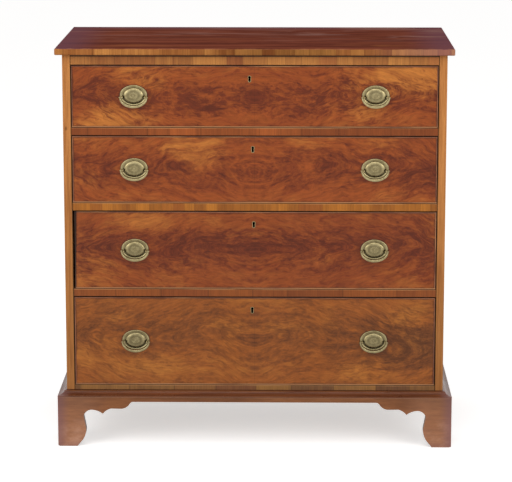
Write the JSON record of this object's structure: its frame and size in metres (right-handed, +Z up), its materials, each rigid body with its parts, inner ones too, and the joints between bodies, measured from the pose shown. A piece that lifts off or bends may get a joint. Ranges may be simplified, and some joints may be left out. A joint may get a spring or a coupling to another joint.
{
  "type": "chest of drawers",
  "caption": "Straight-front chest with graduated long drawers, bail handles, locks and a shaped bracket base, for storing clothes or linen.",
  "frame": {"origin": "on the floor, under the middle of the overall width and depth", "axes": "+X to the right seen from the front, +Y from the front to the back, +Z up"},
  "size_m": [1.018, 0.5274, 1.035],
  "materials": {
    "flame_veneer": "satin figured mahogany veneer",
    "crossbanding": "satin cross-banded mahogany",
    "cockbead_mahogany": "satin mahogany bead",
    "case_mahogany": "satin mahogany",
    "top_mahogany": "satin dark mahogany",
    "base_mahogany": "satin mahogany",
    "moulding_mahogany": "satin mahogany",
    "drawer_lining": "planed bare wood",
    "pine": "planed bare pine",
    "pine_back": "rough darkened pine",
    "aged_brass": "aged brass",
    "lock_iron": "dark iron"
  },
  "bodies": {
    "carcase": {"top_board": "top_mahogany", "side_left": "case_mahogany", "side_right": "case_mahogany", "back_boards": "pine_back", "bottom_board": "pine", "top_rail": "crossbanding", "drawer_dividers": "crossbanding", "bottom_rail": "crossbanding", "drawer_runners": "pine", "top_kickers": "pine", "drawer_stops": "pine", "bracket_front": "base_mahogany", "bracket_sides": "base_mahogany", "bracket_rear": "pine_back", "foot_blocks": "pine_back", "base_moulding": "moulding_mahogany"},
    "drawer_1": {"drawer_1_front": "flame_veneer", "drawer_1_cockbead": "cockbead_mahogany", "drawer_1_sides": "drawer_lining", "drawer_1_back": "drawer_lining", "drawer_1_bottom": "drawer_lining", "drawer_1_lock_case": "lock_iron", "drawer_1_plates": "aged_brass", "drawer_1_posts": "aged_brass"},
    "bail_1_left": {"drawer_1_bail_left": "aged_brass"},
    "bail_1_right": {"drawer_1_bail_right": "aged_brass"},
    "lock_bolt_1": {"drawer_1_lock_bolt": "lock_iron"},
    "drawer_2": {"drawer_2_front": "flame_veneer", "drawer_2_cockbead": "cockbead_mahogany", "drawer_2_sides": "drawer_lining", "drawer_2_back": "drawer_lining", "drawer_2_bottom": "drawer_lining", "drawer_2_lock_case": "lock_iron", "drawer_2_plates": "aged_brass", "drawer_2_posts": "aged_brass"},
    "bail_2_left": {"drawer_2_bail_left": "aged_brass"},
    "bail_2_right": {"drawer_2_bail_right": "aged_brass"},
    "lock_bolt_2": {"drawer_2_lock_bolt": "lock_iron"},
    "drawer_3": {"drawer_3_front": "flame_veneer", "drawer_3_cockbead": "cockbead_mahogany", "drawer_3_sides": "drawer_lining", "drawer_3_back": "drawer_lining", "drawer_3_bottom": "drawer_lining", "drawer_3_lock_case": "lock_iron", "drawer_3_plates": "aged_brass", "drawer_3_posts": "aged_brass"},
    "bail_3_left": {"drawer_3_bail_left": "aged_brass"},
    "bail_3_right": {"drawer_3_bail_right": "aged_brass"},
    "lock_bolt_3": {"drawer_3_lock_bolt": "lock_iron"},
    "drawer_4": {"drawer_4_front": "flame_veneer", "drawer_4_cockbead": "cockbead_mahogany", "drawer_4_sides": "drawer_lining", "drawer_4_back": "drawer_lining", "drawer_4_bottom": "drawer_lining", "drawer_4_lock_case": "lock_iron", "drawer_4_plates": "aged_brass", "drawer_4_posts": "aged_brass"},
    "bail_4_left": {"drawer_4_bail_left": "aged_brass"},
    "bail_4_right": {"drawer_4_bail_right": "aged_brass"},
    "lock_bolt_4": {"drawer_4_lock_bolt": "lock_iron"}
  },
  "joints": [
    {"name": "drawer_1_slide", "type": "slide", "parent": "carcase", "child": "drawer_1", "axis": [0, -1, 0], "range_m": [0, 0.36]},
    {"name": "bail_1_left_swing", "type": "hinge", "parent": "drawer_1", "child": "bail_1_left", "pos_m": [-0.3065, -0.24985, 0.91], "axis": [-1, 0, 0], "range_deg": [0, 150]},
    {"name": "bail_1_right_swing", "type": "hinge", "parent": "drawer_1", "child": "bail_1_right", "pos_m": [0.3065, -0.24985, 0.91], "axis": [-1, 0, 0], "range_deg": [0, 150]},
    {"name": "lock_bolt_1_throw", "type": "slide", "parent": "drawer_1", "child": "lock_bolt_1", "axis": [0, 0, 1], "range_m": [0, 0.0065]},
    {"name": "drawer_2_slide", "type": "slide", "parent": "carcase", "child": "drawer_2", "axis": [0, -1, 0], "range_m": [0, 0.36]},
    {"name": "bail_2_left_swing", "type": "hinge", "parent": "drawer_2", "child": "bail_2_left", "pos_m": [-0.3065, -0.24985, 0.72275], "axis": [-1, 0, 0], "range_deg": [0, 150]},
    {"name": "bail_2_right_swing", "type": "hinge", "parent": "drawer_2", "child": "bail_2_right", "pos_m": [0.3065, -0.24985, 0.72275], "axis": [-1, 0, 0], "range_deg": [0, 150]},
    {"name": "lock_bolt_2_throw", "type": "slide", "parent": "drawer_2", "child": "lock_bolt_2", "axis": [0, 0, 1], "range_m": [0, 0.0065]},
    {"name": "drawer_3_slide", "type": "slide", "parent": "carcase", "child": "drawer_3", "axis": [0, -1, 0], "range_m": [0, 0.36]},
    {"name": "bail_3_left_swing", "type": "hinge", "parent": "drawer_3", "child": "bail_3_left", "pos_m": [-0.3065, -0.24985, 0.5135], "axis": [-1, 0, 0], "range_deg": [0, 150]},
    {"name": "bail_3_right_swing", "type": "hinge", "parent": "drawer_3", "child": "bail_3_right", "pos_m": [0.3065, -0.24985, 0.5135], "axis": [-1, 0, 0], "range_deg": [0, 150]},
    {"name": "lock_bolt_3_throw", "type": "slide", "parent": "drawer_3", "child": "lock_bolt_3", "axis": [0, 0, 1], "range_m": [0, 0.0065]},
    {"name": "drawer_4_slide", "type": "slide", "parent": "carcase", "child": "drawer_4", "axis": [0, -1, 0], "range_m": [0, 0.36]},
    {"name": "bail_4_left_swing", "type": "hinge", "parent": "drawer_4", "child": "bail_4_left", "pos_m": [-0.3065, -0.24985, 0.2745], "axis": [-1, 0, 0], "range_deg": [0, 150]},
    {"name": "bail_4_right_swing", "type": "hinge", "parent": "drawer_4", "child": "bail_4_right", "pos_m": [0.3065, -0.24985, 0.2745], "axis": [-1, 0, 0], "range_deg": [0, 150]},
    {"name": "lock_bolt_4_throw", "type": "slide", "parent": "drawer_4", "child": "lock_bolt_4", "axis": [0, 0, 1], "range_m": [0, 0.0065]}
  ]
}
